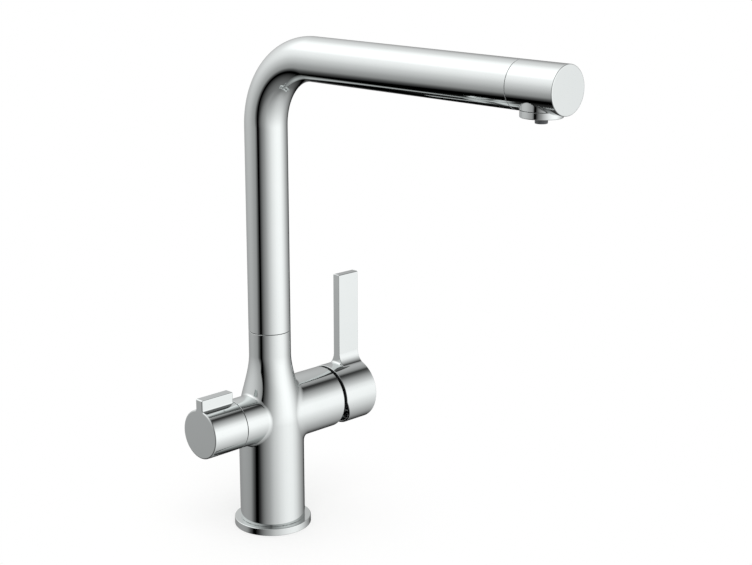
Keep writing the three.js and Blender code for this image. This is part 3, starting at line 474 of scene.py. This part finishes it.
# The skin of a solid that is given as a field, below zero inside: one vertex in each grid cell
# that the surface crosses, moved on to the surface, and a face across each grid line that it cuts.
def skinned(field, xs, ys, zs, lean=None):
    grid = np.array(np.meshgrid(xs, ys, zs, indexing="ij"))
    if lean:
        grid = lean(grid)
    value = field(*grid)
    inside = value < 0
    cells = tuple(n - 1 for n in value.shape)
    total = np.zeros((3,) + cells)
    count = np.zeros(cells)
    window = [slice(0, n) for n in cells]
    crossings = []
    for axis in range(3):
        low = [slice(None)] * 3
        high = [slice(None)] * 3
        low[axis], high[axis] = slice(0, -1), slice(1, None)
        low, high = tuple(low), tuple(high)
        crossed = inside[low] != inside[high]
        gap = np.where(crossed, value[low] - value[high], 1)
        share = np.where(crossed, value[low] / gap, 0)
        lowEnd, highEnd = grid[(slice(None),) + low], grid[(slice(None),) + high]
        where = (lowEnd * (1 - share) + highEnd * share) * crossed
        others = [n for n in range(3) if n != axis]
        for one in (0, 1):
            for two in (0, 1):
                part = list(window)
                part[others[0]] = slice(one, one + cells[others[0]])
                part[others[1]] = slice(two, two + cells[others[1]])
                part = tuple(part)
                total += where[(slice(None),) + part]
                count += crossed[part]
        crossings.append(crossed)
    used = count > 0
    number = np.full(cells, -1)
    number[used] = np.arange(used.sum())
    points = total[:, used] / count[used]
    faces = []
    for axis, crossed in enumerate(crossings):
        one, two = (axis + 1) % 3, (axis + 2) % 3
        spot = np.argwhere(crossed)
        for other in (one, two):  # not on the outside of the grid
            spot = spot[(spot[:, other] > 0) & (spot[:, other] < cells[other])]
        ring = []
        for stepOne, stepTwo in ((1, 1), (0, 1), (0, 0), (1, 0)):
            cell = spot.copy()
            cell[:, one] -= stepOne
            cell[:, two] -= stepTwo
            ring.append(number[tuple(cell.T)])
        quads = np.array(ring).T
        outwards = inside[tuple(spot.T)]
        faces.append(np.where(outwards[:, None], quads, quads[:, ::-1]))
    for _ in range(making["settlings"]):
        slope = np.array(slopeOf(field, *points))
        move = slope * field(*points) / ((slope ** 2).sum(0) + 1e-6)
        points = points - np.clip(move, -making["settlingReach"], making["settlingReach"])
    slope = np.array(slopeOf(field, *points))
    normals = slope / (np.linalg.norm(slope, axis=0) + 1e-9)
    return points.T, np.concatenate(faces).tolist(), normals.T


# Base ring
baseRing = {"radius": 26.0, "height": 4.93, "edge": 0.45, "footEdge": 0.3, "opening": 15.5,
            "spigot": (18.45, 7.8),  # radius and top
            "sealGroove": (19.1, 22.1, 1.8)}  # inner and outer radius, depth


def makeBaseRing():
    inner, outer, depth = baseRing["sealGroove"]
    spigot, spigotTop = baseRing["spigot"]
    outline = [
        (baseRing["opening"], 0), (inner, 0), (inner, depth), (outer, depth), (outer, 0),
        (baseRing["radius"], 0, baseRing["footEdge"]),
        (baseRing["radius"], baseRing["height"], baseRing["edge"]),
        (spigot, baseRing["height"]), (spigot, spigotTop), (baseRing["opening"], spigotTop),
    ]
    addPiece("baseRing", turned(outline, 180), "polished_chrome_plate", "body", "base_ring")


makeBaseRing()


# Cast body: a column that narrows in to the spout's pipe, with a boss for the mixer and an arm
# for the filter valve.
casting = {
    "foot": 4.96, "top": 137.0, "radius": 21.95, "neckRadius": 14.0, "flare": (76.0, 121.0),
    "armHeight": 78.5, "bossRadius": 21.2, "bossEnd": 48.55, "armRadius": 16.5, "armEnd": -33.64,
    # Fillets: on top, at the sides, and the power by which one grows into the other
    "bossFillet": (1.6, 12.0, 2), "armFillet": (1.8, 4.2, 4),
    "footEdge": 0.05, "topEdge": 0.2, "armEdge": 0.2, "bossEdge": 0.3, "holeEdge": 0.2,
    # Radius of each bore, and the place where it ends
    "recess": (18.6, 22.05), "neckBore": (11.5, 101.0), "bossBore": (17.8, 20.0), "armBore": (9.55, -9.0),
    # X, Y, radius and top of the holes for the three hoses and the stud
    "ports": [(6, 8.5, 4.8, 36.05), (6, -8.5, 4.8, 36.05), (-5, 0, 4.8, 36.05), (13.2, 0, 3.3, 40.05)],
    "stopHole": (2.15, 126.0, 10),  # radius, height and the Y it starts from
    "box": ((-35, 50), (-23, 23), (3.2, 138)), "grid": 0.8,
}


def columnField(x, y, z):
    low, high = casting["flare"]
    t = np.clip((z - low) / (high - low), 0, 1)
    change = casting["neckRadius"] - casting["radius"]
    radius = casting["radius"] + change * t * t * (3 - 2 * t)
    lean = change * 6 * t * (1 - t) / (high - low)
    return (np.hypot(x, y) - radius) / np.sqrt(1 + lean * lean)


def armsField(x, y, z):
    around = np.hypot(y, z - casting["armHeight"])
    return around - np.where(x > 0, casting["bossRadius"], casting["armRadius"])


def castingField(x, y, z):
    fillets = []
    for name, radius in (("bossFillet", casting["bossRadius"]), ("armFillet", casting["armRadius"])):
        top, side, power = casting[name]
        fillets.append(top + (side - top) * np.clip(abs(y) / radius, 0, 1) ** power)
    solid = filleted(columnField, armsField, np.where(x > 0, *fillets), x, y, z)
    solid = trimmed(solid, casting["foot"] - z, casting["footEdge"])
    solid = trimmed(solid, z - casting["top"], casting["topEdge"])
    solid = trimmed(solid, casting["armEnd"] - x, casting["armEdge"])
    solid = trimmed(solid, x - casting["bossEnd"], casting["bossEdge"])
    middle = np.hypot(x, y)
    around = np.hypot(y, z - casting["armHeight"])
    (recess, ceiling), (neck, neckFloor) = casting["recess"], casting["neckBore"]
    (boss, seat), (arm, armSeat) = casting["bossBore"], casting["armBore"]
    holes = [np.maximum(middle - recess, z - ceiling), np.maximum(middle - neck, neckFloor - z),
             np.maximum(around - boss, seat - x), np.maximum(around - arm, x - armSeat)]
    for portX, portY, radius, top in casting["ports"]:
        holes.append(np.maximum(np.hypot(x - portX, y - portY) - radius, z - top))
    radius, height, start = casting["stopHole"]
    holes.append(np.maximum(np.hypot(x, z - height) - radius, start - y))
    for hole in holes:
        solid = trimmed(solid, -hole, casting["holeEdge"])
    return solid


def makeBody():
    spanX, spanY, spanZ = casting["box"]
    xs = gridLines(*spanX, casting["grid"], [casting["armEnd"], casting["bossEnd"]])
    ys = gridLines(*spanY, casting["grid"])
    zs = gridLines(*spanZ, casting["grid"], [casting["foot"], casting["top"]])
    addPiece("castBody", skinned(castingField, xs, ys, zs), "polished_chrome_plate", "body", "tap_body")


makeBody()


# Spout: a bent pipe
pipe = {"radius": 14.0, "bore": 12.5, "bottom": 137.3, "height": 320.2, "bend": 46.3, "end": 212.1,
        "edge": 0.15, "bendSteps": 48}


def makeSpout():
    rise = pipe["height"] - pipe["bend"] - pipe["bottom"]
    arc = pipe["bend"] * math.pi / 2
    total = rise + arc + pipe["end"] - pipe["bend"]
    stops = np.concatenate([[0], np.linspace(rise, rise + arc, pipe["bendSteps"] + 1), [total]])
    outside = [(pipe["radius"], stop) for stop in stops]
    inside = [(pipe["bore"], stop) for stop in stops[::-1]]
    points, faces, normals = turned(outside + inside, rounding=pipe["edge"])
    x, side, along = points.T
    angle = np.clip((along - rise) / pipe["bend"], 0, math.pi / 2)
    cosine, sine = np.cos(angle), np.sin(angle)
    level = np.maximum(along - rise - arc, 0)
    # The centre line, and round it the two directions that turn with the bend
    centreY = -pipe["bend"] * (1 - cosine) - level
    centreZ = pipe["bottom"] + np.minimum(along, rise) + pipe["bend"] * sine
    bent = np.stack([x, centreY + side * cosine, centreZ + side * sine], 1)
    across, sideways, onwards = normals.T
    bentNormals = np.stack([across, sideways * cosine - onwards * sine, sideways * sine + onwards * cosine], 1)
    addPiece("spoutPipe", (bent, faces, bentNormals), "polished_chrome_plate", "spout", "spout_tube")


makeSpout()


# Outlet head: the end of the spout, with the collar that takes the aerator
head = {
    "start": 212.32, "end": 245.0, "radius": 14.0, "height": 320.2,
    "outlet": 227.2, "collar": 12.0, "collarFoot": 307.9, "fillet": 0.5,
    "edge": 0.55, "startEdge": 0.1, "holeEdge": 0.12,
    "spigot": (12.35, 9.8, 204.2, 2),  # radius, bore, its end in the pipe and its root in the head
    "cavity": (12.5, 213.4, 243.0),  # radius, from and to
    "recess": (12.15, 308.05),  # for the aerator: radius and seat
    "bore": 10.6,
    "box": ((-14.8, 14.8), (-246, -203.4), (304.6, 335.4)), "grid": 0.55,
}


def shellField(x, y, z):
    return np.hypot(x, z - head["height"]) - head["radius"]


def collarField(x, y, z):
    return np.maximum(np.hypot(x, y + head["outlet"]) - head["collar"], z - head["height"])


def headField(x, y, z):
    along = -y
    around = np.hypot(x, z - head["height"])
    column = np.hypot(x, along - head["outlet"])
    solid = filleted(shellField, collarField, head["fillet"], x, y, z)
    solid = trimmed(solid, along - head["end"], head["edge"])
    solid = trimmed(solid, head["start"] - along, head["startEdge"])
    solid = np.maximum(solid, np.minimum(shellField(x, y, z), head["collarFoot"] - z))
    spigot, spigotBore, spigotEnd, root = head["spigot"]
    tail = np.maximum(np.maximum(around - spigot, spigotEnd - along), along - head["start"] - root)
    solid = np.minimum(solid, tail)
    cavity, cavityFrom, cavityTo = head["cavity"]
    mouth, seat = head["recess"]
    holes = [np.maximum(around - cavity, np.maximum(cavityFrom - along, along - cavityTo)),
             np.maximum(around - spigotBore, along - cavityFrom - 1),  # it opens into the cavity
             np.maximum(column - mouth, z - seat), np.maximum(column - head["bore"], z - head["height"])]
    for hole in holes:
        solid = trimmed(solid, -hole, head["holeEdge"])
    return solid


def makeHead():
    spanX, spanY, spanZ = head["box"]
    xs = gridLines(*spanX, head["grid"])
    ys = gridLines(*spanY, head["grid"], [-head["end"], -head["start"]])
    zs = gridLines(*spanZ, head["grid"], [head["collarFoot"]], 0.5)
    addPiece("outletHead", skinned(headField, xs, ys, zs), "polished_chrome_plate", "spout", "outlet_head")


makeHead()


# Aerator: a screwed ring, a screen of fine rings inside it and the filtered water's own nozzle
aerator = {
    "radius": 12.0, "foot": 304.0, "footEdge": 0.45, "seam": 307.82, "seamEdge": 0.08,
    "thread": 10.3, "top": 313.9, "bore": 9.1, "lip": (8.1, 0.8),  # radius and thickness
    "screen": (3.75, 8.95, 304.95, 311.45),  # inner and outer radius, underside and top
    # Grooves of the screen: place of the first, clear of the rim by, width, depth and pitch
    "grooves": (0.5, 0.8, 0.45, 0.5, 0.9), "screenEdge": 0.08,
    "nozzle": (3.6, 2.2, 300.6, 323.8),  # radius, bore, foot and top
    "nozzleEdges": (0.5, 0.3),  # of its rim, and the others
    "nozzleFloor": 2,  # thickness of the top
}


def makeAerator():
    start = (0, -head["outlet"], 0)
    up = (0, 0, 1)
    lip, lipThickness = aerator["lip"]
    lipTop = aerator["foot"] + lipThickness
    ring = [
        (lip, aerator["foot"]), (aerator["radius"], aerator["foot"], aerator["footEdge"]),
        (aerator["radius"], aerator["seam"], aerator["seamEdge"]), (aerator["thread"], aerator["seam"]),
        (aerator["thread"], aerator["top"]), (aerator["bore"], aerator["top"]),
        (aerator["bore"], lipTop), (lip, lipTop),
    ]
    shape = pointed(turned(ring), up, start)
    addPiece("aeratorRing", shape, "polished_chrome_plate", "spout", "aerator_housing")
    inner, outer, low, high = aerator["screen"]
    first, clear, width, depth, pitch = aerator["grooves"]
    screen = [(inner, high), (inner, low)]
    radius = inner + first
    while radius < outer - clear:
        screen += [(radius, low), (radius, low + depth), (radius + width, low + depth), (radius + width, low)]
        radius += pitch
    screen += [(outer, low), (outer, high)]
    shape = pointed(turned(screen, 96, aerator["screenEdge"]), up, start)
    addPiece("aeratorScreen", shape, "grey_acetal", "spout", "aerator_insert")
    radius, bore, low, high = aerator["nozzle"]
    rim, otherEdge = aerator["nozzleEdges"]
    floorAt = high - aerator["nozzleFloor"]
    nozzle = [(0, floorAt), (bore, floorAt), (bore, low, otherEdge), (radius, low, rim),
              (radius, high, otherEdge), (0, high)]
    shape = pointed(turned(nozzle, 72), up, start)
    addPiece("filteredNozzle", shape, "grey_acetal", "spout", "filtered_water_nozzle")


makeAerator()


# Black ring in the joint between body and spout
spoutBush = {"bore": 10.25, "radius": 11.35, "flange": 13.5, "bottom": 130.5, "seat": 137.03, "top": 137.27,
             "edge": 0.08}


def makeSpoutBush():
    bore, radius, flange = spoutBush["bore"], spoutBush["radius"], spoutBush["flange"]
    bottom, seat, top = spoutBush["bottom"], spoutBush["seat"], spoutBush["top"]
    outline = [(bore, bottom), (radius, bottom), (radius, seat), (flange, seat), (flange, top), (bore, top)]
    shape = turned(outline, 120, spoutBush["edge"])
    addPiece("spoutBush", shape, "black_acetal", "body", "upper_spout_bush")


makeSpoutBush()


# Black cover over the cartridge: a dome round the lever's pivot, with stepped rings at its foot
cover = {
    "pivot": 46.0, "dome": 19.5, "wall": 1.2, "opening": 13.0, "edge": 0.08,
    "skirt": (16.45, 17.65, 46.75),  # inner and outer radius, foot
    "seat": 48.7,
    "rings": [(49.1, 49.45), (50.0, 50.35)], "ringDepth": 0.2,
    "ringGap": 0.2,  # from the last ring to the first step of the dome
    "domeSteps": 14, "domeRounding": 9,  # large enough to make one smooth curve of the steps
}


def makeCover():
    pivot, dome = cover["pivot"], cover["dome"]
    skirtIn, skirtOut, skirtFrom = cover["skirt"]
    inner = dome - cover["wall"]

    def arc(radius, low, high):
        return [(radius * math.cos(a), pivot + radius * math.sin(a), cover["domeRounding"])
                for a in np.linspace(low, high, cover["domeSteps"])]

    def radiusAt(x):
        return math.sqrt(dome ** 2 - (x - pivot) ** 2)

    outline = [(skirtIn, skirtFrom), (skirtOut, skirtFrom), (skirtOut, cover["seat"]),
               (radiusAt(cover["seat"]), cover["seat"])]
    for low, high in cover["rings"]:
        depth = cover["ringDepth"]
        outline += [(radiusAt(low), low), (radiusAt(low) - depth, low), (radiusAt(high) - depth, high),
                    (radiusAt(high), high)]
    domeFrom = high + cover["ringGap"]
    outline += arc(dome, math.asin((domeFrom - pivot) / dome), math.acos(cover["opening"] / dome))
    outline += arc(inner, math.acos(cover["opening"] / inner), math.acos(skirtIn / inner))
    shape = pointed(turned(outline, rounding=cover["edge"]), (1, 0, 0), (0, 0, casting["armHeight"]))
    addPiece("cartridgeDome", shape, "black_acetal", "body", "cartridge_cover")


makeCover()


# Mixer lever: a cap with a thin blade that grows out of it with a full fillet
lever = {
    "start": 50.95, "end": 78.95, "radius": 21.43, "tilt": 24.0, "startEdge": 0.25, "edge": 0.4,
    "bladeFrom": 61.05, "bladeThickness": 5.95, "bladeTop": 163.7, "topRound": 1.0,
    "fillet": 8.0,  # at the foot of the blade's two broad sides
    # At the foot of its face towards the column: radius, the face's height that gives all of it,
    # and the least radius
    "innerFillet": (1.6, 2, 0.01),
    "bore": 20.0, "innerEnd": 76.55, "holeEdge": 0.2,
    "hub": (7.0, 65.8),  # radius and where it starts
    "plug": (71.4, 2.4, 57.35, 59.35),  # X, radius, underside and top
    "plugEdge": 0.35, "plugHole": (0.15, 3, 0.15),  # gap round the plug, height above it, edge
    "box": ((50.2, 79.8), (-22.2, 22.2), (56.3, 164.9)), "grid": (0.7, 0.6, 0.7),
    "filletRows": [99.0, 100.8, 102.6],
}


def capField(x, y, z):
    return np.hypot(y, z - casting["armHeight"]) - lever["radius"]


def bladeSides(x, y, z):
    sides = trimmed(abs(y) - lever["bladeThickness"] / 2, z - lever["bladeTop"], lever["topRound"])
    return np.maximum(sides, casting["armHeight"] - z)


def bladeProfile(x, y, z):
    return filleted(capField, bladeSides, lever["fillet"], x, y, z)


# The blade with the fillets on its two broad sides ends in a flat face towards the column.
def bladeField(x, y, z):
    return trimmed(bladeProfile(x, y, z), lever["bladeFrom"] - x, lever["edge"])


def leverField(x, y, z):
    arm = casting["armHeight"]
    # The fillet at the foot of that face fades out with the face's height.
    most, full, least = lever["innerFillet"]
    height = np.clip(capField(x, y, z) - bladeProfile(x, y, z), 0, full) / full
    solid = filleted(capField, bladeField, most * height + least, x, y, z)
    solid = trimmed(solid, x - lever["end"], lever["edge"])
    tilt = math.radians(lever["tilt"])
    bevel = (lever["start"] - x) * math.cos(tilt) + (arm - z) * math.sin(tilt)
    solid = trimmed(solid, np.maximum(lever["start"] - x, bevel), lever["startEdge"])
    around = np.hypot(y, z - arm)
    hubRadius, hubFrom = lever["hub"]
    hollow = np.maximum(around - lever["bore"], x - lever["innerEnd"])
    # The hub stands in the hollow. Before its start the steep fall leaves the hollow as it is.
    hollow = np.maximum(hollow, hubRadius - around + np.minimum(x - hubFrom, 0) * 100)
    solid = trimmed(solid, -hollow, lever["holeEdge"])
    plugAt, plugRadius, _, plugTop = lever["plug"]
    gap, above, edge = lever["plugHole"]
    hole = np.maximum(np.hypot(x - plugAt, y) - plugRadius - gap, z - plugTop - above)
    return trimmed(solid, -hole, edge)


# The grid leans with the cap's slanting edge, so that its lines run along it, and stands upright
# again at the cap's end. The lean goes on a little way past the edge.
def leanWithEdge(grid):
    x, y, z = grid
    share = np.clip((lever["end"] - x) / (lever["end"] - lever["start"]), 0, 1.1)
    drop = np.maximum(casting["armHeight"] - z, 0)
    return np.array([x + drop * math.tan(math.radians(lever["tilt"])) * share, y, z])


def makeLever():
    spanX, spanY, spanZ = lever["box"]
    stepX, stepY, stepZ = lever["grid"]
    half = lever["bladeThickness"] / 2
    root = (half + lever["fillet"]) * lever["radius"] / (lever["radius"] + lever["fillet"])
    xs = gridLines(*spanX, stepX, [lever["start"], lever["bladeFrom"], lever["end"]], 0.6)
    ys = gridLines(*spanY, stepY, [-root, -half, half, root], 0.6, 9)
    zs = gridLines(*spanZ, stepZ, lever["filletRows"] + [lever["bladeTop"] - 0.5], 0.9, 8)
    shape = skinned(leverField, xs, ys, zs, leanWithEdge)
    addPiece("mixerLever", shape, "polished_chrome_plate", "lever", "mixer_lever")
    at, radius, low, high = lever["plug"]
    plug = [(0, low), (radius, low, lever["plugEdge"]), (radius, high), (0, high)]
    shape = pointed(turned(plug, 48), (0, 0, 1), (at, 0, 0))
    addPiece("leverPlug", shape, "grey_acetal", "lever", "lever_plug")


makeLever()


# Filtered water knob: a round knob with a fin on top
knob = {
    "start": -34.04, "end": -61.14, "radius": 16.5, "startEdge": 0.2, "endEdge": 0.9,
    "finThickness": 6.8, "finRoot": 94.6, "finTop": 102.4, "finEnd": -35.5, "fillet": 1.2, "edge": 0.6,
    "bore": 14.5, "innerEnd": -58.74, "holeEdge": 0.2,
    "hub": (6.8, -44.59),  # radius and where it starts
    "screw": (-52.0, 2.05, 0.15),  # X, radius and edge of the hole under it
    "box": ((-61.9, -33.2), (-17.2, 17.2), (61.2, 103.4)), "grid": 0.6,
}


def knobRoundField(x, y, z):
    return np.hypot(y, z - casting["armHeight"]) - knob["radius"]


def finField(x, y, z):
    sides = trimmed(abs(y) - knob["finThickness"] / 2, z - knob["finTop"], knob["edge"])
    sides = trimmed(sides, x - knob["finEnd"], knob["edge"])
    return np.maximum(sides, casting["armHeight"] - z)


def knobField(x, y, z):
    solid = filleted(knobRoundField, finField, knob["fillet"], x, y, z)
    solid = trimmed(solid, knob["end"] - x, knob["endEdge"])
    solid = trimmed(solid, x - knob["start"], knob["startEdge"])
    around = np.hypot(y, z - casting["armHeight"])
    hubRadius, hubFrom = knob["hub"]
    hollow = np.maximum(around - knob["bore"], knob["innerEnd"] - x)
    hollow = np.maximum(hollow, -np.maximum(around - hubRadius, x - hubFrom))
    solid = trimmed(solid, -hollow, knob["holeEdge"])
    at, radius, edge = knob["screw"]
    hole = np.maximum(np.hypot(x - at, y) - radius, z - casting["armHeight"] + hubRadius)
    return trimmed(solid, -hole, edge)


def makeKnob():
    spanX, spanY, spanZ = knob["box"]
    side = knob["finThickness"] / 2 + 0.5  # just outside the fin, so that its fillet is in the fine lines
    xs = gridLines(*spanX, knob["grid"], [knob["end"], knob["finEnd"], knob["start"]], 0.6)
    ys = gridLines(*spanY, knob["grid"], [-side, side], 1.2, 14)
    zs = gridLines(*spanZ, knob["grid"], [knob["finRoot"], knob["finTop"]], 0.8, 10)
    addPiece("filterKnob", skinned(knobField, xs, ys, zs), "polished_chrome_plate", "knob", "filter_knob")


makeKnob()


# Stop screw at the back of the neck, a grub screw with a hexagon socket
stopScrew = {"radius": 2.0, "height": 126.0, "tip": 8.6, "face": 13.6, "edge": 0.3,
             "socket": (0.95, 1.8),  # half the width across its flats, and depth
             "box": ((-2.3, 2.3), (8.1, 14.0), (123.7, 128.3)), "grid": (0.14, 0.2, 0.14)}


def stopScrewField(x, y, z):
    across, up = x, z - stopScrew["height"]
    solid = trimmed(np.hypot(across, up) - stopScrew["radius"], y - stopScrew["face"], stopScrew["edge"])
    solid = np.maximum(solid, stopScrew["tip"] - y)
    halfWidth, depth = stopScrew["socket"]
    sides = [abs(across * math.cos(a) + up * math.sin(a)) for a in (0, math.pi / 3, 2 * math.pi / 3)]
    socket = np.maximum(np.maximum.reduce(sides) - halfWidth, stopScrew["face"] - depth - y)
    return np.maximum(solid, -socket)


def makeStopScrew():
    xs, ys, zs = [gridLines(*span, step) for span, step in zip(stopScrew["box"], stopScrew["grid"])]
    addPiece("stopScrew", skinned(stopScrewField, xs, ys, zs), "stainless_steel", "body", "spout_stop_screw")


makeStopScrew()
print("pieces made")
